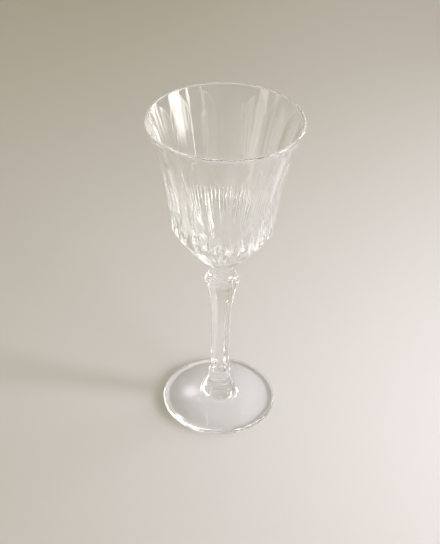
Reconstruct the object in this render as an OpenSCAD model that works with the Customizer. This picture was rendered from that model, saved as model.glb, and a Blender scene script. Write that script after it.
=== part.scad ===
// Stemmed wine glass in clear cut crystal
// Millimetres, +Z up, origin on the table under the middle of the foot

/* [Foot] */
// Diameter of the foot
foot_d = 68.4; // [56:0.2:82]
// Height of the foot in the middle, up to the stem
foot_h = 12; // [10:0.1:15]
// Thickness of the foot at its rounded edge
foot_edge = 3.2; // [2.6:0.1:4.4]
// Radius of the cove between the foot and the stem
cove_r = 7; // [4:0.1:10]
// Width of the flat ring that the glass stands on
foot_ring = 4.5; // [2.5:0.1:8]
// How far the underside is hollowed in the middle
foot_hollow = 1.1; // [0.4:0.1:2]

/* [Stem] */
// Height of the stem, from the foot to the top of the knop
stem_h = 83.4; // [70:0.1:105]
// Number of flat sides cut down the stem
stem_sides = 8; // [6:1:10]
// Diameter of the stem before it is cut
stem_blank_d = 12.8; // [11:0.1:15]
// Distance across the flats at the slimmest place
stem_flats = 10.3; // [8.5:0.1:12]
// Distance across the flats at the widest place of the knop
knop_flats = 18.9; // [16:0.1:22]
// Distance across the flats at the top face of the knop
knop_top_flats = 17.0; // [14:0.1:19]
// Height of the slope from the widest place up to the top face
knop_slope_h = 4.5; // [3:0.1:8]
// Height of the curve from the slim shaft up to the knop
taper_h = 30; // [22:0.5:40]
// Height of the round flare at the bottom of the stem
flare_h = 13.5; // [10:0.5:18]
// Radius of the flare
flare_r = 45; // [32:1:60]
// Length over which the flat sides run out, half of it down the flare
side_run_out = 8; // [6:0.5:14]

/* [Collar] */
// Height of the collar between the stem and the bowl
collar_h = 9.6; // [6:0.1:14]
// Diameter of the collar at its two ends
collar_end_d = 15.0; // [13:0.1:17]
// Diameter of the collar at its waist
collar_waist_d = 12.2; // [10:0.1:13]

/* [Bowl] */
// Height of the bowl
bowl_h = 90; // [75:0.5:110]
// Outer diameter of the rim
rim_d = 84.6; // [74:0.2:96]
// Thickness of the rim
rim_wall = 1.7; // [1.3:0.1:2.4]
// Outer diameter at the shoulder, where the wall meets the lower cone
shoulder_d = 57.6; // [50:0.2:64]
// Height of the shoulder above the bottom of the bowl
shoulder_h = 23; // [18:0.5:30]
// Radius of the outward sweep of the wall
sweep_r = 244; // [180:2:400]
// Outer diameter of the bottom of the bowl
bowl_base_d = 20; // [17:0.2:24]
// Thickness of the glass under the hollow
base_wall = 5.2; // [4:0.2:10]
// Thickness of the wall at the height of the shoulder
shoulder_wall = 4.4; // [3.8:0.1:7]
// Radius of the sweep of the inside
hollow_sweep_r = 330; // [260:2:500]

/* [Cuts on the bowl] */
// Number of long flutes round the wall
flutes = 16; // [10:1:24]
// Depth of a flute in its middle
flute_depth = 0.9; // [0.4:0.05:1.1]
// Plain band between the rim and the tops of the flutes
flute_top_gap = 2.6; // [2:0.2:8]
// Height of the lower ends of the flutes above the shoulder
flute_foot_gap = 8; // [4:0.5:14]
// Number of prism cuts across the shoulder
prisms = 32; // [24:1:48]
// Height of the tops of the prism cuts above the shoulder
prism_up = 15; // [10:0.5:20]
// Depth of the bottoms of the prism cuts below the shoulder
prism_down = 19; // [12:0.5:21]
// Depth of a prism cut at the shoulder
prism_depth = 2.6; // [2:0.1:3.2]
// Angle between the two faces of a prism cut
prism_angle = 94; // [80:1:110]
// Number of flat facets on the lower cone
facets = 8; // [6:1:12]
// Depth of a facet at the bottom of the cone
facet_depth_low = 0.4; // [0.2:0.05:0.8]
// Depth of a facet at the shoulder
facet_depth_high = 1.6; // [0.8:0.05:1.9]
// Turn of all the cuts, on the bowl and on the stem, away from facing the front
cut_turn = -3.25; // [-11:0.25:11]

/* [Hidden] */
$fn = 180;
// how far a cut runs on past the faces that it opens
past = 2;
stem_z = foot_h;
collar_z = stem_z + stem_h;
bowl_z = collar_z + collar_h;
rim_r = rim_d / 2;
shoulder_r = shoulder_d / 2;
bowl_base_r = bowl_base_d / 2;
// centre of the arc of radius r through two points, on the side away from the axis
function arc_mid(a, b) = (a + b) / 2;
function arc_side(a, b) = [b[1] - a[1], a[0] - b[0]] / norm(b - a);
function arc_off(a, b, r) = sqrt(r * r - norm(b - a) * norm(b - a) / 4);
function arc_centre(a, b, r) = arc_mid(a, b) + arc_side(a, b) * arc_off(a, b, r);
// outer wall
wall_low = [shoulder_r, shoulder_h];
wall_top = [rim_r, bowl_h - rim_wall / 2];
wall_c = arc_centre(wall_low, wall_top, sweep_r);
function wall_at(z) = wall_c[0] - sqrt(sweep_r * sweep_r - (z - wall_c[1]) * (z - wall_c[1]));
function wall_slope(z) = (z - wall_c[1]) / (wall_c[0] - wall_at(z));
function cone_at(z) = bowl_base_r + (shoulder_r - bowl_base_r) * z / shoulder_h;
// hollow: a ball for the bottom, touching the arc of the inside wall without a crease
in_low = [shoulder_r - shoulder_wall, shoulder_h];
in_top = [rim_r - rim_wall, bowl_h - rim_wall / 2];
in_c = arc_centre(in_low, in_top, hollow_sweep_r);
in_drop = in_c[1] - base_wall;
in_gap = in_c[0] * in_c[0] + in_drop * in_drop - hollow_sweep_r * hollow_sweep_r;
ball_r = in_gap / (2 * (hollow_sweep_r + in_drop));
ball_z = base_wall + ball_r;
in_touch = in_c + ([0, ball_z] - in_c) * hollow_sweep_r / (hollow_sweep_r + ball_r);
// flutes
flute_low = shoulder_h + flute_foot_gap;
flute_high = bowl_h - flute_top_gap;
flute_mid = (flute_low + flute_high) / 2;
flute_half = (flute_high - flute_low) / 2 * sqrt(1 + wall_slope(flute_mid) * wall_slope(flute_mid));
flute_r = 1 / (1 / sweep_r + 2 * flute_depth / (flute_half * flute_half));
flute_dir = [1, -wall_slope(flute_mid)] / norm([1, wall_slope(flute_mid)]);
flute_c = [wall_at(flute_mid), flute_mid] + flute_dir * (flute_r - flute_depth);
flute_wide = rim_d * sin(180 / flutes) + 2 * past;
// prism cuts: one stretch up the wall and one down the cone, meeting at the shoulder
prism_deep = [shoulder_r - prism_depth, shoulder_h];
prism_top = [wall_at(shoulder_h + prism_up), shoulder_h + prism_up];
prism_foot = [cone_at(shoulder_h - prism_down), shoulder_h - prism_down];
prism_over = 2 * prism_depth + past;
prism_open = 2 * prism_depth + past;
// facets
facet_low = bowl_base_r - facet_depth_low;
facet_slope = (shoulder_r - facet_depth_high - facet_low) / shoulder_h;
facet_over = 3 * past;
function facet_at(z) = [facet_low + facet_slope * z, z];
// stem
blank_r = stem_blank_d / 2;
flat_r = stem_flats / 2;
knop_r = knop_flats / 2;
knop_top_r = knop_top_flats / 2;
stem_foot_r = blank_r + flare_r - sqrt(flare_r * flare_r - flare_h * flare_h);
knop_z = stem_h - knop_slope_h;
taper_z = knop_z - taper_h;
taper_r = (taper_h * taper_h + (knop_r - flat_r) * (knop_r - flat_r)) / (2 * (knop_r - flat_r));
run_z = flare_h + side_run_out / 2;
run_x = blank_r + flare_r - sqrt(flare_r * flare_r - side_run_out * side_run_out / 4);
run_r = (side_run_out * side_run_out + (run_x - flat_r) * (run_x - flat_r)) / (2 * (run_x - flat_r));
run_drop = min(run_r, run_z);
run_low = flat_r + run_r - sqrt(run_r * run_r - run_drop * run_drop);
side_reach = max(run_low, knop_r) + 3 * past;
corner = 1 / cos(180 / stem_sides);
// share of the knop's corners that is left where its turned blank rounds them
corner_left = 0.8;
knop_blank_r = knop_r * (1 + corner_left * (corner - 1));
knop_top_blank_r = knop_top_r * (1 + corner_left * (corner - 1));
// turn of a blank's seam away from the middles and the edges of the cuts
stem_seam = 13;
bowl_seam = 3.25;
// foot: its rounded edge and its cove are joined by their common tangent
edge_r = foot_edge / 2;
edge_c = [foot_d / 2 - edge_r, edge_r];
flare_steep = asin(flare_h / flare_r);
cove_c = [stem_foot_r, foot_h] + cove_r * [cos(flare_steep), sin(flare_steep)];
cove_way = cove_c - edge_c;
foot_lean = atan2(cove_way[1], cove_way[0]) + asin((edge_r + cove_r) / norm(cove_way)) - 90;
foot_up = [cos(foot_lean), sin(foot_lean)];

// half of a section, kept on the right of the axis
module right_half(r, low, high) {
    intersection() {
        children();
        translate([0, low])
            square([r, high - low]);
    }
}

module bowl_outside() {
    difference() {
        polygon([
            [0, 0],
            [bowl_base_r, 0],
            wall_low,
            wall_top,
            [0, bowl_h - rim_wall / 2]
        ]);
        translate(wall_c)
            circle(sweep_r, $fn = 720);
    }
    translate([rim_r - rim_wall / 2, bowl_h - rim_wall / 2])
        circle(rim_wall / 2, $fn = 48);
}

module bowl_hollow() {
    right_half(ball_r + past, 0, in_touch[1])
        translate([0, ball_z])
            circle(ball_r);
    difference() {
        polygon([
            [0, in_touch[1]],
            in_touch,
            in_top,
            [in_top[0], bowl_h + past],
            [0, bowl_h + past]
        ]);
        translate(in_c)
            circle(hollow_sweep_r, $fn = 720);
    }
}

module flute_cut() {
    translate([flute_c[0], 0, flute_c[1]])
        rotate([90, 0, 0])
            cylinder(r = flute_r, h = flute_wide, center = true, $fn = 720);
}

// a wedge along a stretch of valley, from its lower end to its upper end
module prism_cut(low, high) {
    way = high - low;
    wide = prism_open * tan(prism_angle / 2);
    translate([low[0], 0, low[1]])
        rotate([0, atan2(way[0], way[1]), 0])
            translate([0, 0, -prism_over])
                linear_extrude(height = norm(way) + 2 * prism_over)
                    polygon([[0, 0], [prism_open, wide], [prism_open, -wide]]);
}

module facet_cut() {
    reach = shoulder_r + facet_over * (facet_slope + 1);
    rotate([90, 0, 0])
        linear_extrude(height = shoulder_d, center = true)
            polygon([
                facet_at(-facet_over),
                facet_at(shoulder_h + facet_over),
                [reach, shoulder_h + facet_over],
                [reach, -facet_over]
            ]);
}

module bowl() {
    color([0.93, 0.95, 0.94, 0.35])
        translate([0, 0, bowl_z])
            rotate([0, 0, cut_turn])
                difference() {
                    rotate([0, 0, bowl_seam])
                        rotate_extrude()
                            difference() {
                                bowl_outside();
                                bowl_hollow();
                            }
                    for (k = [0 : flutes - 1])
                        rotate([0, 0, k * 360 / flutes - 90])
                            flute_cut();
                    for (k = [0 : facets - 1])
                        rotate([0, 0, (k + 0.5) * 360 / facets - 90])
                            facet_cut();
                    for (k = [0 : prisms - 1])
                        rotate([0, 0, k * 360 / prisms - 90]) {
                            prism_cut(prism_deep, prism_top);
                            prism_cut(prism_foot, prism_deep);
                        }
                }
}

module collar() {
    color([0.93, 0.95, 0.94, 0.35])
        translate([0, 0, collar_z])
            rotate_extrude()
                collar_section();
}

module collar_section() {
    sag = (collar_end_d - collar_waist_d) / 2;
    r = (collar_h * collar_h / 4 + sag * sag) / (2 * sag);
    difference() {
        square([collar_end_d / 2, collar_h]);
        translate([collar_waist_d / 2 + r, collar_h / 2])
            circle(r);
    }
}

module stem_blank() {
    difference() {
        polygon([
            [0, 0],
            [stem_foot_r, 0],
            [blank_r, flare_h],
            [blank_r, taper_z],
            [knop_blank_r, taper_z],
            [knop_blank_r, knop_z],
            [knop_top_blank_r, stem_h],
            [0, stem_h]
        ]);
        translate([blank_r + flare_r, flare_h])
            circle(flare_r, $fn = 720);
    }
}

// what is left of the stem's section by two opposite flat sides
module stem_slab() {
    difference() {
        polygon([
            [-run_low, run_z - run_drop],
            [-run_low, -past],
            [run_low, -past],
            [run_low, run_z - run_drop],
            [flat_r, run_z],
            [flat_r, taper_z],
            [knop_r, knop_z],
            [knop_top_r, stem_h],
            [-knop_top_r, stem_h],
            [-knop_r, knop_z],
            [-flat_r, taper_z],
            [-flat_r, run_z]
        ]);
        for (side = [-1, 1]) {
            translate([side * (flat_r + run_r), run_z])
                circle(run_r, $fn = 720);
            translate([side * (flat_r + taper_r), taper_z])
                circle(taper_r, $fn = 720);
        }
    }
}

// section of the cut that leaves one flat side
module side_section() {
    difference() {
        translate([flat_r / 2, -past])
            square([side_reach, stem_h + 2 * past]);
        stem_slab();
    }
}

module stem() {
    color([0.93, 0.95, 0.94, 0.35])
        translate([0, 0, stem_z])
            rotate([0, 0, cut_turn])
                difference() {
                    rotate([0, 0, stem_seam])
                        rotate_extrude()
                            stem_blank();
                    for (k = [0 : stem_sides - 1])
                        rotate([0, 0, (k + 0.5) * 360 / stem_sides - 90])
                            rotate([90, 0, 0])
                                linear_extrude(height = side_reach * 2, center = true)
                                    side_section();
                }
}

module foot_section() {
    ring_in = edge_c[0] - foot_ring;
    under_r = (ring_in * ring_in + foot_hollow * foot_hollow) / (2 * foot_hollow);
    difference() {
        union() {
            polygon([
                [0, 0],
                [edge_c[0], 0],
                edge_c + edge_r * foot_up,
                cove_c - cove_r * foot_up,
                [stem_foot_r, foot_h],
                [0, foot_h]
            ]);
            translate(edge_c)
                circle(edge_r, $fn = 60);
        }
        translate(cove_c)
            circle(cove_r, $fn = 120);
        translate([0, foot_hollow - under_r])
            circle(under_r, $fn = 1440);
    }
}

module foot() {
    color([0.93, 0.95, 0.94, 0.35])
        rotate_extrude()
            foot_section();
}

bowl();
collar();
stem();
foot();
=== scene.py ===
import math

import bpy
import numpy as np
from mathutils import Matrix, Vector


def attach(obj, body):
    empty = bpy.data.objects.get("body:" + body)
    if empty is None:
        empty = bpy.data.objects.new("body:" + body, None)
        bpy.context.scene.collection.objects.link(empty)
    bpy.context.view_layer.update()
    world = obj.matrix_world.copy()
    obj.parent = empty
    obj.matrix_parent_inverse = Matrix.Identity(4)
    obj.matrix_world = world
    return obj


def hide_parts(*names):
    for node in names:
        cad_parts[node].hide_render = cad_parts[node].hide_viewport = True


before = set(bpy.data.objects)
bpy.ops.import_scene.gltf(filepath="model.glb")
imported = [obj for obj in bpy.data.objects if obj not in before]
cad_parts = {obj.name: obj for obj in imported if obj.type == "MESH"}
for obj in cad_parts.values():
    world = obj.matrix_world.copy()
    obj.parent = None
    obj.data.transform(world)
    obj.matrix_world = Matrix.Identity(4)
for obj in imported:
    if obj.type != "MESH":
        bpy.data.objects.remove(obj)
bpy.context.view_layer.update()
scene = bpy.context.scene

# Foot, in millimetres as in the part's source
FOOT_R = 34.2
FOOT_H = 12.0
FOOT_EDGE = 3.2
FOOT_RING = 4.5
FOOT_HOLLOW = 1.1
COVE_R = 7.0

# Stem
STEM_H = 83.4
SIDES = 8
BLANK_R = 6.4
FLAT_R = 5.15
KNOP_R = 9.45
KNOP_TOP_R = 8.5
KNOP_SLOPE_H = 4.5
TAPER_H = 30.0
FLARE_H = 13.5
FLARE_R = 45.0
RUN_OUT = 8.0
CORNER_LEFT = 0.8

# Collar
COLLAR_H = 9.6
COLLAR_END_R = 7.5
COLLAR_WAIST_R = 6.1

# Bowl
BOWL_H = 90.0
RIM_R = 42.3
RIM_WALL = 1.7
SHOULDER_R = 28.8
SHOULDER_H = 23.0
SWEEP_R = 244.0
BASE_R = 10.0
BASE_WALL = 5.2
SHOULDER_WALL = 4.4
HOLLOW_SWEEP_R = 330.0

# Cuts on the bowl
FLUTES = 16
FLUTE_DEPTH = 0.9
FLUTE_TOP_GAP = 2.6
FLUTE_FOOT_GAP = 8.0
PRISMS = 32
PRISM_UP = 15.0
PRISM_DOWN = 19.0
PRISM_DEPTH = 2.6
PRISM_ANGLE = math.radians(94)
FACETS = 8
FACET_DEPTH_LOW = 0.4
FACET_DEPTH_HIGH = 1.6
CUT_TURN = math.radians(-3.25)

# Heights of the pieces above the table
STEM_Z = FOOT_H
COLLAR_Z = STEM_Z + STEM_H
BOWL_Z = COLLAR_Z + COLLAR_H

# How far the polish rounds the edges, and as a share of the radius the valleys of the prism cuts
SHOULDER_SOFT = 0.8
FLUTE_SOFT = 0.12
FACET_SOFT = 0.2
PRISM_SOFT = 0.2
VALLEY_SOFT = 0.004
BASE_SOFT = 0.5
KNOP_SOFT = 0.5
SIDE_SOFT = 0.22
KNOP_TOP_SOFT = 0.6

# Points round the pieces
BOWL_POINTS = 480
COLLAR_POINTS = 160
STEM_POINTS = 320
FOOT_POINTS = 256

# Material slots of the pieces; the last three are the foot's
GLASS, JOINT, EDGE, RING, UNDER = range(5)


# Shapes shared by the pieces
def softer(a, b, k):
    """The smaller of two radii, with the edge between them rounded over about k."""
    h = np.clip(0.5 + 0.5 * (b - a) / k, 0, 1)
    return b * (1 - h) + a * h - k * h * (1 - h)


def around(count):
    """Equal steps round the axis; angle 0 faces the camera, at -Y."""
    return np.arange(count) * 2 * math.pi / count


def from_nearest(angle, count, first):
    """Angle to the nearest of count equal steps that start at first."""
    step = 2 * math.pi / count
    return (angle - first + step / 2) % step - step / 2


def arc_centre(a, b, r):
    """Centre of the arc of radius r through a and b, on the side away from the axis."""
    a, b = np.array(a), np.array(b)
    run = b - a
    side = np.array([run[1], -run[0]]) / np.linalg.norm(run)
    return (a + b) / 2 + side * math.sqrt(r * r - run.dot(run) / 4)


def arc_at(z, centre, r):
    """Distance from the axis of an arc that bulges towards it, at one height."""
    return centre[0] - np.sqrt(np.maximum(r * r - (z - centre[1]) ** 2, 0))


def rows(*spans):
    """Heights of rows of points; a span gives its first height, its last and how many."""
    return np.concatenate([np.linspace(*span) for span in spans])


def ring(r, z, angles):
    """One ring of points, in metres."""
    r = r * np.ones_like(angles)
    return np.stack([np.sin(angles) * r, -np.cos(angles) * r, z * np.ones_like(angles)], 1) / 1000


def arc_rings(centre_r, centre_z, r, turns, angles):
    """Rings along an arc; turn 0 points away from the axis, or towards it for a negative r."""
    return [ring(centre_r + r * math.cos(t), centre_z + r * math.sin(t), angles) for t in turns]


def skin(name, rings, low, high, slots):
    """A closed mesh from rings, with a point in the middle at each end.

    slots gives the material slot of some rows of faces, counted from the low end.
    """
    n = len(rings[0])
    low_point = np.array([[0, 0, low / 1000]])
    high_point = np.array([[0, 0, high / 1000]])
    verts = np.vstack([low_point] + rings + [high_point])
    last, top = 1 + (len(rings) - 1) * n, len(verts) - 1
    faces = [(0, 1 + (i + 1) % n, 1 + i) for i in range(n)]
    for a in range(1, last, n):
        faces += [(a + i, a + (i + 1) % n, a + n + (i + 1) % n, a + n + i) for i in range(n)]
    faces += [(top, last + i, last + (i + 1) % n) for i in range(n)]
    face_slots = [slots.get(row, GLASS) for row in range(len(rings) + 1) for _ in range(n)]
    mesh = bpy.data.meshes.new(name)
    mesh.from_pydata(verts.tolist(), [], faces)
    mesh.polygons.foreach_set("material_index", face_slots)
    mesh.polygons.foreach_set("use_smooth", [slot != JOINT for slot in face_slots])
    mesh.update()
    piece = bpy.data.objects.new(name, mesh)
    scene.collection.objects.link(piece)
    return piece


# Bowl
WALL_TOP = BOWL_H - RIM_WALL / 2
WALL_C = arc_centre((SHOULDER_R, SHOULDER_H), (RIM_R, WALL_TOP), SWEEP_R)
IN_LOW = (SHOULDER_R - SHOULDER_WALL, SHOULDER_H)
IN_TOP = (RIM_R - RIM_WALL, WALL_TOP)
IN_C = arc_centre(IN_LOW, IN_TOP, HOLLOW_SWEEP_R)
IN_DROP = IN_C[1] - BASE_WALL
BALL_R = (IN_C[0] ** 2 + IN_DROP ** 2 - HOLLOW_SWEEP_R ** 2) / (2 * (HOLLOW_SWEEP_R + IN_DROP))
BALL_Z = BASE_WALL + BALL_R
TOUCH_Z = IN_C[1] + (BALL_Z - IN_C[1]) * HOLLOW_SWEEP_R / (HOLLOW_SWEEP_R + BALL_R)
# Rows of points: close together where the bottom is rounded and where the prism cuts are
BASE_ROWS = (0.05, 0.15, 0.3, BASE_SOFT)
CONE_ROWS = (1.0, 13.0, 24)
SHOULDER_ROWS = (13.4, 41.4, 72)
WALL_ROWS = (42.2, WALL_TOP, 52)
RIM_ROWS = 9
HOLLOW_ROWS = 21
BALL_ROWS = 22
# Flat bottom left inside the rounded edge
BASE_FLAT_R = BASE_R - 1.4
# Smallest divisor in the flanks of a prism cut, which keeps their radius finite
PRISM_LIMIT = 0.2


def wall_at(z):
    """Outer radius of the wall before it is cut."""
    return arc_at(z, WALL_C, SWEEP_R)


def cone_at(z):
    """Outer radius of the lower cone before it is cut."""
    return BASE_R + (SHOULDER_R - BASE_R) * z / SHOULDER_H


def flute_wheel():
    """Centre and radius of the wheel that cuts a flute."""
    low, high = SHOULDER_H + FLUTE_FOOT_GAP, BOWL_H - FLUTE_TOP_GAP
    mid = (low + high) / 2
    slope = (mid - WALL_C[1]) / (WALL_C[0] - wall_at(mid))
    half = (high - low) / 2 * math.hypot(1, slope)
    r = 1 / (1 / SWEEP_R + 2 * FLUTE_DEPTH / half ** 2)
    out = np.array([1, -slope]) / math.hypot(1, slope)
    return np.array([wall_at(mid), mid]) + out * (r - FLUTE_DEPTH), r


FLUTE_C, FLUTE_R = flute_wheel()


def flute_at(z, angles):
    """Radius down to which the flutes are cut."""
    off = from_nearest(angles, FLUTES, CUT_TURN)
    return arc_at(z, FLUTE_C, FLUTE_R) / np.cos(off)


def facet_at(z, angles):
    """Radius down to which the flat facets are cut."""
    off = from_nearest(angles, FACETS, CUT_TURN + math.pi / FACETS)
    low = BASE_R - FACET_DEPTH_LOW
    high = SHOULDER_R - FACET_DEPTH_HIGH
    return (low + (high - low) * z / SHOULDER_H) / np.cos(off)


def prism_at(z, angles, end, far):
    """Radius of one stretch of the prism cuts, deepest at the shoulder and out at radius far."""
    off = from_nearest(angles, PRISMS, CUT_TURN)
    across = np.sqrt(np.sin(off) ** 2 + VALLEY_SOFT ** 2) - VALLEY_SOFT
    deep = SHOULDER_R - PRISM_DEPTH
    slope = (far - deep) / (end - SHOULDER_H)
    flank = math.hypot(1, slope) / math.tan(PRISM_ANGLE / 2)
    valley = deep + slope * (z - SHOULDER_H)
    return valley / np.maximum(np.cos(off) - across * flank, PRISM_LIMIT)


def bowl_outside(z, angles):
    """Outer radius of the cut bowl, z from its own bottom."""
    top, foot = SHOULDER_H + PRISM_UP, SHOULDER_H - PRISM_DOWN
    r = np.full_like(angles, softer(cone_at(z), wall_at(z), SHOULDER_SOFT))
    r = softer(r, flute_at(z, angles), FLUTE_SOFT)
    r = softer(r, facet_at(z, angles), FACET_SOFT)
    r = softer(r, prism_at(z, angles, top, wall_at(top)), PRISM_SOFT)
    return softer(r, prism_at(z, angles, foot, cone_at(foot)), PRISM_SOFT)


def make_bowl():
    angles = around(BOWL_POINTS)
    rings = [ring(COLLAR_END_R, BOWL_Z, angles), ring(BASE_FLAT_R, BOWL_Z, angles)]
    for z in np.concatenate([BASE_ROWS, rows(CONE_ROWS, SHOULDER_ROWS, WALL_ROWS)]):
        r = bowl_outside(z, angles)
        if z < BASE_SOFT:
            r = r - BASE_SOFT + math.sqrt(BASE_SOFT ** 2 - (BASE_SOFT - z) ** 2)
        rings.append(ring(r, BOWL_Z + z, angles))
    lip = RIM_WALL / 2
    rim_turns = np.linspace(0, math.pi, RIM_ROWS)[1:-1]
    rings += arc_rings(RIM_R - lip, BOWL_Z + WALL_TOP, lip, rim_turns, angles)
    for z in np.linspace(WALL_TOP, TOUCH_Z, HOLLOW_ROWS):
        rings.append(ring(arc_at(z, IN_C, HOLLOW_SWEEP_R), BOWL_Z + z, angles))
    ball_top = math.acos((BALL_Z - TOUCH_Z) / BALL_R)
    ball_turns = np.linspace(ball_top, 0, BALL_ROWS)[1:-1] - math.pi / 2
    rings += arc_rings(0, BOWL_Z + BALL_Z, BALL_R, ball_turns, angles)
    return skin("bowl_glass", rings, BOWL_Z, BOWL_Z + BASE_WALL, {0: JOINT})


# Collar
COLLAR_ROWS = (0, COLLAR_H, 33)


def make_collar():
    angles = around(COLLAR_POINTS)
    sag = COLLAR_END_R - COLLAR_WAIST_R
    r = (COLLAR_H ** 2 / 4 + sag ** 2) / (2 * sag)
    waist = (COLLAR_WAIST_R + r, COLLAR_H / 2)
    rings = [ring(arc_at(z, waist, r), COLLAR_Z + z, angles) for z in rows(COLLAR_ROWS)]
    return skin("collar_glass", rings, COLLAR_Z, COLLAR_Z + COLLAR_H, {0: JOINT, len(rings): JOINT})


# Stem
KNOP_Z = STEM_H - KNOP_SLOPE_H
TAPER_Z = KNOP_Z - TAPER_H
TAPER_R = (TAPER_H ** 2 + (KNOP_R - FLAT_R) ** 2) / (2 * (KNOP_R - FLAT_R))
RUN_Z = FLARE_H + RUN_OUT / 2
RUN_X = BLANK_R + FLARE_R - math.sqrt(FLARE_R ** 2 - (RUN_OUT / 2) ** 2)
RUN_R = (RUN_OUT ** 2 + (RUN_X - FLAT_R) ** 2) / (2 * (RUN_X - FLAT_R))
CORNER = 1 + CORNER_LEFT * (1 / math.cos(math.pi / SIDES) - 1)
KNOP_TOP_Z = STEM_H - KNOP_TOP_SOFT
# Rows of points: close together where the sides run out and round the knop
STEM_ROWS = (
    (0, 11, 24), (11.3, 24, 50), (25, TAPER_Z, 20),
    (TAPER_Z + 0.4, KNOP_Z - 3, 44), (KNOP_Z - 2.7, KNOP_TOP_Z, 30))
KNOP_TOP_ROWS = 7


def knop_slope(z):
    """Distance from the axis of the slope at the top of the knop."""
    return KNOP_R + (KNOP_TOP_R - KNOP_R) * (z - KNOP_Z) / KNOP_SLOPE_H


def stem_blank(z):
    """Radius of the turned stem before its sides are cut."""
    if z < FLARE_H:
        return BLANK_R + FLARE_R - math.sqrt(FLARE_R ** 2 - (FLARE_H - z) ** 2)
    if z < TAPER_Z:
        return BLANK_R
    if z < KNOP_Z:
        return KNOP_R * CORNER
    return CORNER * knop_slope(z)


def stem_flat(z):
    """Distance of the flat sides from the axis."""
    if z < RUN_Z:
        return FLAT_R + RUN_R - math.sqrt(RUN_R ** 2 - (RUN_Z - z) ** 2)
    if z < TAPER_Z:
        return FLAT_R
    up = FLAT_R + TAPER_R - math.sqrt(TAPER_R ** 2 - (z - TAPER_Z) ** 2)
    return softer(up, knop_slope(z), KNOP_SOFT)


def stem_outside(z, angles):
    """Radius of the cut stem, z from its own bottom."""
    off = from_nearest(angles, SIDES, CUT_TURN + math.pi / SIDES)
    return softer(np.full_like(angles, stem_blank(z)), stem_flat(z) / np.cos(off), SIDE_SOFT)


def make_stem():
    angles = around(STEM_POINTS)
    rings = [ring(stem_outside(z, angles), STEM_Z + z, angles) for z in rows(*STEM_ROWS)]
    for turn in np.linspace(0, math.pi / 2, KNOP_TOP_ROWS)[1:]:
        z = KNOP_TOP_Z + KNOP_TOP_SOFT * math.sin(turn)
        r = stem_outside(z, angles) - KNOP_TOP_SOFT + KNOP_TOP_SOFT * math.cos(turn)
        rings.append(ring(r, STEM_Z + z, angles))
    rings.append(ring(COLLAR_END_R, STEM_Z + STEM_H, angles))
    return skin("stem_glass", rings, STEM_Z, STEM_Z + STEM_H, {0: JOINT, len(rings): JOINT})


# Foot
# Distance from the outline to the inside of the ring under the edge, whose crystal lets extra light
# through: a painted band of light on the floor, bright on the left and dark on the right
GATHER = 4.2
# Turn on the rounded edge between its lower and its upper part
EDGE_SPLIT = math.radians(15)
UNDER_IN_R = 1.5
UNDER_ROWS = 22
EDGE_LOW_ROWS = 13
EDGE_HIGH_ROWS = 7
SLOPE_ROWS = 14
COVE_ROWS = 20


def make_foot():
    """The rounded edge and the cove are joined by their common tangent."""
    angles = around(FOOT_POINTS)
    edge = FOOT_EDGE / 2
    flat_r = FOOT_R - edge
    ring_in = flat_r - FOOT_RING
    under = (ring_in ** 2 + FOOT_HOLLOW ** 2) / (2 * FOOT_HOLLOW)
    steep = math.asin(FLARE_H / FLARE_R)
    cove_x = BLANK_R + FLARE_R - (FLARE_R - COVE_R) * math.cos(steep)
    cove_z = FOOT_H + COVE_R * math.sin(steep)
    run, rise = cove_x - flat_r, cove_z - edge
    lean = math.atan2(rise, run) + math.asin((edge + COVE_R) / math.hypot(run, rise)) - math.pi / 2
    low_turns = np.linspace(-math.pi / 2, EDGE_SPLIT, EDGE_LOW_ROWS)
    high_turns = np.linspace(EDGE_SPLIT, lean, EDGE_HIGH_ROWS)[1:]
    cove_turns = np.linspace(lean, steep, COVE_ROWS)[1:]

    rings = []
    for r in np.linspace(UNDER_IN_R, ring_in, UNDER_ROWS):
        rings.append(ring(r, FOOT_HOLLOW - under + math.sqrt(under ** 2 - r * r), angles))
    rings.append(ring(FOOT_R - GATHER, 0, angles))
    slots = {len(rings): RING}
    low_row = len(rings) + 1
    rings += arc_rings(flat_r, edge, edge, low_turns, angles)
    high_row = len(rings)
    rings += arc_rings(flat_r, edge, edge, high_turns, angles)
    slots |= {row: UNDER for row in range(low_row, high_row)}
    slots |= {row: EDGE for row in range(high_row, len(rings))}
    top_r, top_z = flat_r + edge * math.cos(lean), edge + edge * math.sin(lean)
    cove_r, cove_low = cove_x - COVE_R * math.cos(lean), cove_z - COVE_R * math.sin(lean)
    for part in np.linspace(0, 1, SLOPE_ROWS)[1:]:
        rings.append(ring(top_r + (cove_r - top_r) * part, top_z + (cove_low - top_z) * part, angles))
    rings += arc_rings(cove_x, cove_z, -COVE_R, cove_turns, angles)
    slots[len(rings)] = JOINT
    return skin("foot_glass", rings, FOOT_HOLLOW, FOOT_H, slots)


# Nodes shared by the materials and the world
def add(tree, kind, inputs, **settings):
    """A new node; an input is linked if it is given a socket, and set if it is given a value."""
    made = tree.nodes.new("ShaderNode" + kind)
    for key, value in settings.items():
        setattr(made, key, value)
    for key, value in inputs.items():
        if isinstance(value, bpy.types.NodeSocket):
            tree.links.new(value, made.inputs[key])
        else:
            made.inputs[key].default_value = value
    return made


def blank(name):
    """A new material with no nodes."""
    mat = bpy.data.materials.new(name)
    mat.use_nodes = True
    mat.node_tree.nodes.clear()
    return mat


def times(tree, a, b):
    return add(tree, "Math", {0: a, 1: b}, operation="MULTIPLY").outputs["Value"]


def larger(tree, a, b):
    return add(tree, "Math", {0: a, 1: b}, operation="MAXIMUM").outputs["Value"]


def smooth(tree, value, low, high, first, last):
    """A share that goes smoothly from first to last as the value goes from low to high."""
    limits = {"Value": value, "From Min": low, "From Max": high, "To Min": first, "To Max": last}
    return add(tree, "MapRange", limits, interpolation_type="SMOOTHSTEP").outputs["Result"]


def scaled(tree, colour, share):
    return add(tree, "VectorMath", {0: colour, "Scale": share}, operation="SCALE").outputs["Vector"]


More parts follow.
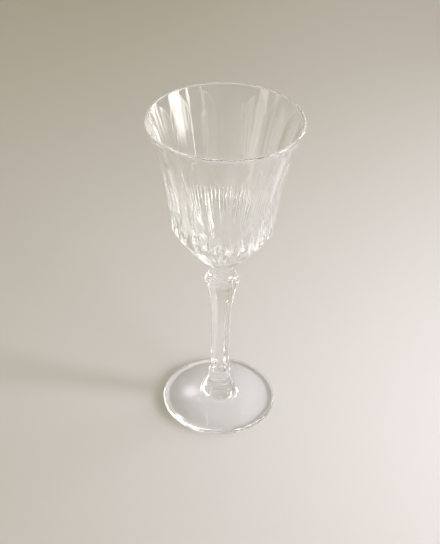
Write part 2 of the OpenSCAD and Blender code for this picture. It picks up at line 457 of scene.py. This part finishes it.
def ramp(tree, value, *stops):
    """A colour that follows a value through three stops, each a place and a colour."""
    made = add(tree, "ValToRGB", {"Fac": value})
    elements = made.color_ramp.elements
    elements.new(stops[1][0])
    for element, (at, colour) in zip(elements, stops):
        element.position = at
        element.color = (*colour, 1)
    return made.outputs["Color"]


def mixed(tree, share, a, b):
    """Colour a where the share is 0, and b where it is 1."""
    return add(tree, "Mix", {"Factor": share, "A": a, "B": b}, data_type="RGBA").outputs["Result"]


def either(tree, share, a, b):
    """Shader a where the share is 0, and b where it is 1."""
    return add(tree, "MixShader", {"Fac": share, 1: a, 2: b}).outputs["Shader"]


# Crystal
CRYSTAL = (0.985, 0.99, 0.985, 1)
CRYSTAL_IOR = 1.52
WAVE_SCALE = 70
WAVE_DETAIL = 2
WAVE_STRENGTH = 0.05
WAVE_HEIGHT = 0.0006
# How a piece's seed shifts its waviness
SEED_SHIFT = Vector((1, 0.7, 0))
POLISH_SCALE = 900
POLISH_DETAIL = 4
POLISH = {"From Min": 0.55, "From Max": 0.8, "To Min": 0.0, "To Max": 0.06}
MIDDLE_FACING = 0.5
# Share of the light that passes into and out of the glass: face on, at MIDDLE_FACING and at graze
# across: painted light and shade, fixed from left to right: two places from left to right, in metres,
# and the factors there
# pool: a painted pool of light on the floor under the foot: a point and its reach, in metres, and its
# gain
BOWL_SHARES = {"entering": (0.75, 0.7, 0.2), "leaving": (1, 1, 1)}
STEM_SHARES = {"entering": (0.3, 0.25, 0.1), "leaving": (1, 1, 1)}
FOOT_SHARES = {
    "entering": (0.71, 0.77, 0.83), "leaving": (1.75, 1.75, 0), "graze": 0.79,
    "across": (0.008, 0.022, 0.89, 1.08), "painted_light_pool": ((-0.0148, 0.001, 0), 0.008, 2.3)}
EDGE_SHARES = {"entering": (0.7, 0.7, 0.6), "leaving": (1.2, 1.2, 1.2)}
# Ring under the foot's edge: a painted band of light on its left and painted shade on its right, from
# its extra share and its factors across
RING_SHARES = {
    "entering": (1.8, 1.8, 1.8), "leaving": (0, 0, 0), "across": (-0.012, 0.012, 1.1, 0.2)}
UNDER_SHARES = {"entering": (0.9, 0.9, 0.9), "leaving": (1.1, 1.1, 1.1)}


def let_through(tree, place, entering, leaving, graze=0.9, across=None, painted_light_pool=None):
    """Colour of the light that the glass lets through to what lies in its shade; the factors from left
    to right and the gain round one point are painted by place on the glass, as painted shade and a
    painted pool of light on the floor beneath.
    """
    facing = add(tree, "LayerWeight", {}).outputs["Facing"]
    inward, outward = [
        ramp(tree, facing, *zip((0, MIDDLE_FACING, graze), [(share, share, share) for share in shares]))
        for shares in (entering, leaving)]
    # Painted light and shade: the share changes from left to right by place on the glass, not by where
    # the light falls
    if across:
        x = add(tree, "SeparateXYZ", {"Vector": place}).outputs["X"]
        inward = scaled(tree, inward, smooth(tree, x, *across))
    # Painted light: one fixed patch of the glass lets more light through, a painted pool of light on the
    # floor beneath it
    if painted_light_pool:
        middle, reach, gain = painted_light_pool
        away = add(tree, "VectorMath", {0: place, 1: middle}, operation="DISTANCE").outputs["Value"]
        inward = scaled(tree, inward, smooth(tree, away, 0, reach, gain, 1))
    back = add(tree, "NewGeometry", {}).outputs["Backfacing"]
    return mixed(tree, back, inward, outward)


def crystal(name, seed, shares):
    """Clear crystal: a faint pressed waviness, a slight change of polish, and light shadows."""
    mat = blank(name)
    tree = mat.node_tree
    place = add(tree, "TexCoord", {}).outputs["Object"]
    shifted = add(tree, "Mapping", {"Vector": place, "Location": seed * SEED_SHIFT}).outputs["Vector"]
    slow = add(tree, "TexNoise", {"Vector": shifted, "Scale": WAVE_SCALE, "Detail": WAVE_DETAIL})
    fine = add(tree, "TexNoise", {"Vector": shifted, "Scale": POLISH_SCALE, "Detail": POLISH_DETAIL})
    bump = add(tree, "Bump", {
        "Strength": WAVE_STRENGTH, "Distance": WAVE_HEIGHT, "Height": slow.outputs["Fac"]})
    polish = add(tree, "MapRange", {"Value": fine.outputs["Fac"], **POLISH})
    glass = add(tree, "BsdfPrincipled", {
        "Base Color": CRYSTAL, "Transmission Weight": 1, "IOR": CRYSTAL_IOR,
        "Roughness": polish.outputs["Result"], "Normal": bump.outputs["Normal"]})
    clear = add(tree, "BsdfTransparent", {"Color": let_through(tree, place, **shares)})
    shadow = add(tree, "LightPath", {}).outputs["Is Shadow Ray"]
    surface = either(tree, shadow, glass.outputs["BSDF"], clear.outputs["BSDF"])
    add(tree, "OutputMaterial", {"Surface": surface})
    return mat


def fused():
    """The inside of a hot joint, where one piece runs into the next with no surface between."""
    mat = blank("fused_joint")
    clear = add(mat.node_tree, "BsdfTransparent", {})
    add(mat.node_tree, "OutputMaterial", {"Surface": clear.outputs["BSDF"]})
    return mat


# Each piece takes the place of its node; its seed shifts its waviness
joint = fused()
for make, node, seed, share in (
        (make_bowl, "bowl", 1.3, BOWL_SHARES), (make_collar, "collar", 4.1, STEM_SHARES),
        (make_stem, "stem", 2.2, STEM_SHARES), (make_foot, "foot", 3.7, FOOT_SHARES)):
    piece = make()
    piece.data.materials.append(crystal(node + "_crystal", seed, share))
    piece.data.materials.append(joint)
    # The foot's edge, ring and underside get copies of its crystal that differ only in the light they
    # let through: painted light and shade on the floor under the foot
    if node == "foot":
        piece.data.materials.append(crystal("foot_edge_crystal", seed, EDGE_SHARES))
        piece.data.materials.append(crystal("foot_ring_crystal", seed, RING_SHARES))
        piece.data.materials.append(crystal("foot_under_crystal", seed, UNDER_SHARES))
    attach(piece, "root")
    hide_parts(node)


# Floor and background
FLOOR_SIZE = 8
FLOOR_GAP = 0.0002
FLOOR_COLOUR = (0.75, 0.725, 0.71, 1)
FLOOR_ROUGHNESS = 0.75
FLOOR_SHINE = 0.2
# Distances from the glass between which the floor runs into the plain background
FLOOR_FADE = (0.62, 0.8)
BACKGROUND = (0.46, 0.437, 0.39, 1)


def sheet(name, wide, high, mat):
    """A flat rectangle for the stage."""
    x, y = wide / 2, high / 2
    mesh = bpy.data.meshes.new(name)
    mesh.from_pydata([(-x, -y, 0), (x, -y, 0), (x, y, 0), (-x, y, 0)], [], [(0, 1, 2, 3)])
    mesh.materials.append(mat)
    piece = bpy.data.objects.new(name, mesh)
    scene.collection.objects.link(piece)
    return piece


def pale_table():
    """A plain pale table top that runs into the background far from the glass."""
    mat = blank("pale_table")
    tree = mat.node_tree
    table = add(tree, "BsdfPrincipled", {
        "Base Color": FLOOR_COLOUR, "Roughness": FLOOR_ROUGHNESS, "Specular IOR Level": FLOOR_SHINE})
    pale = add(tree, "Emission", {"Color": BACKGROUND})
    place = add(tree, "TexCoord", {}).outputs["Object"]
    far = add(tree, "VectorMath", {0: place}, operation="LENGTH").outputs["Value"]
    path = add(tree, "LightPath", {}).outputs
    shown = larger(tree, path["Is Camera Ray"], path["Is Transmission Ray"])
    part = times(tree, smooth(tree, far, *FLOOR_FADE, 0, 1), shown)
    surface = either(tree, part, table.outputs["BSDF"], pale.outputs["Emission"])
    add(tree, "OutputMaterial", {"Surface": surface})
    return mat


floor = sheet("floor", FLOOR_SIZE, FLOOR_SIZE, pale_table())
floor.location = (0, 0, -FLOOR_GAP)


# Light
# Share of a pane's light that is left after one bounce off the floor
PANE_SPILL = 0.1
# Share of a pane's height over which it fades out at its sill
PANE_FADE = 0.1
PANE_COLOUR = (1, 0.965, 0.93, 1)
LAMP_COLOUR = (1.01, 0.995, 1.15)
LAMP_FAR = 0.6
LAMP_Z = 0.25


def pane_light(name, glow):
    """Light of a window pane, full where the glass shows it and weak where the floor passes it on."""
    mat = blank(name)
    tree = mat.node_tree
    place = add(tree, "TexCoord", {}).outputs["Generated"]
    up = add(tree, "SeparateXYZ", {"Vector": place}).outputs["Y"]
    fade = add(tree, "MapRange", {"Value": up, "From Max": PANE_FADE, "To Max": glow})
    bounced = add(tree, "LightPath", {}).outputs["Diffuse Depth"]
    spill = add(tree, "MapRange", {"Value": bounced, "To Min": 1, "To Max": PANE_SPILL})
    level = times(tree, fade.outputs["Result"], spill.outputs["Result"])
    light = add(tree, "Emission", {"Color": PANE_COLOUR, "Strength": level})
    add(tree, "OutputMaterial", {"Surface": light.outputs["Emission"]})
    return mat


def pane(name, turn, far, wide, low, high, glow):
    """A bright window pane that only the glass shows, turned to face it."""
    piece = sheet(name, wide, high - low, pane_light(name, glow))
    angle = math.radians(turn)
    piece.location = (far * math.cos(angle), far * math.sin(angle), (low + high) / 2)
    piece.rotation_euler = (math.pi / 2, 0, angle - math.pi / 2)
    piece.visible_camera = False
    piece.visible_diffuse = False
    piece.visible_shadow = False


def soft_box(name, place, aim, wide, high, power, spread):
    """A soft lamp; the glass shows the panes in its place."""
    lamp = bpy.data.lights.new(name, "AREA")
    lamp.shape = "RECTANGLE"
    lamp.size, lamp.size_y = wide, high
    lamp.energy = power
    lamp.spread = math.radians(spread)
    lamp.color = LAMP_COLOUR
    holder = bpy.data.objects.new(name, lamp)
    scene.collection.objects.link(holder)
    holder.location = place
    holder.visible_transmission = False
    holder.visible_glossy = False
    holder.rotation_euler = (Vector(aim) - Vector(place)).to_track_quat("-Z", "Y").to_euler()


# Lamps: name, turn in degrees, width and height in metres, power in watts, spread in degrees
for name, turn, wide, high, power, spread in (
        ("window_back", 30, 0.27, 0.46, 1.2, 150),
        ("window_side", -20, 0.37, 0.46, 0.75, 120),
        ("window_slit", -9.5, 0.13, 0.3, 1.25, 100),
        ("window_front", -45, 0.2, 0.46, 0.61, 100)):
    angle = math.radians(turn)
    place = (LAMP_FAR * math.cos(angle), LAMP_FAR * math.sin(angle), LAMP_Z)
    soft_box(name, place, (0, 0, LAMP_Z), wide, high, power, spread)
# One more for the far right of the floor: place, aim, width, height, power and spread
soft_box("window_far", (0.7, 0.95, 0.5), (0.38, 0.66, 0), 0.5, 0.5, 0.22, 27)

# Panes: name, turn in degrees, distance, width, lower and upper end in metres, strength
for shape in (
        ("pane_back", 38, 0.6, 0.1, 0.0, 1.1, 13),
        ("pane_main", -6.5, 0.6, 0.2, 0.05, 1.1, 13),
        ("pane_thin", -30, 0.6, 0.035, 0.0, 0.48, 10),
        ("pane_front", -52, 0.6, 0.018, 0.0, 0.48, 4),
        ("pane_left", -150, 0.3, 0.075, 0.0, 0.3, 2.6),
        ("pane_far", -174, 0.3, 0.05, 0.0, 0.3, 1.6)):
    pane(*shape)

# World: colours on the left, in the middle and on the right, as they light the floor (LIT)
# and as the glass shows them (SHOWN)
LIT = (0.11, 0.1, 0.02), (0.345, 0.318, 0.155), (0.80, 0.765, 0.68)
SHOWN = (0.36, 0.335, 0.29), (0.56, 0.53, 0.48), (0.75, 0.73, 0.70)
STOPS = (0, 0.5, 1)


def room():
    """A plain room, darker on the left."""
    world = bpy.data.worlds.new("room")
    world.use_nodes = True
    tree = world.node_tree
    toward = add(tree, "TexCoord", {}).outputs["Generated"]
    x = add(tree, "SeparateXYZ", {"Vector": toward}).outputs["X"]
    side = add(tree, "MapRange", {"Value": x, "From Min": -1}).outputs["Result"]
    path = add(tree, "LightPath", {}).outputs
    # 1 before the first bounce off the floor, and 0 after it
    first = add(tree, "Math", {0: path["Diffuse Depth"], 1: 0.5}, operation="LESS_THAN").outputs["Value"]
    in_glass = times(tree, larger(tree, path["Is Glossy Ray"], path["Is Transmission Ray"]), first)
    lit = ramp(tree, side, *zip(STOPS, LIT))
    shown = ramp(tree, side, *zip(STOPS, SHOWN))
    colour = mixed(tree, path["Is Camera Ray"], mixed(tree, in_glass, lit, shown), BACKGROUND)
    tree.links.new(colour, tree.nodes["Background"].inputs["Color"])
    return world


BOUNCES = 32
scene.world = room()
scene.view_settings.view_transform = "Standard"
scene.cycles.max_bounces = BOUNCES
scene.cycles.glossy_bounces = BOUNCES
scene.cycles.transmission_bounces = BOUNCES

# Camera, fitted to the rim and the foot in the photo; angles in radians
PITCH = 0.63579
ROLL = 0.02272
EYE = (-0.0011, -0.5248, 0.4834)
LENS = 75.5
SENSOR = 36
camera = bpy.data.cameras.new("camera")
camera.sensor_width = SENSOR
camera.lens = LENS
eye = bpy.data.objects.new("camera", camera)
scene.collection.objects.link(eye)
ahead = Vector((0, math.cos(PITCH), -math.sin(PITCH)))
up = Vector((0, math.sin(PITCH), math.cos(PITCH)))
right = Vector((1, 0, 0))
turned_right = right * math.cos(ROLL) + up * math.sin(ROLL)
turned_up = up * math.cos(ROLL) - right * math.sin(ROLL)
stand = Matrix((turned_right, turned_up, -ahead)).transposed().to_4x4()
stand.translation = Vector(EYE)
eye.matrix_world = stand
scene.camera = eye
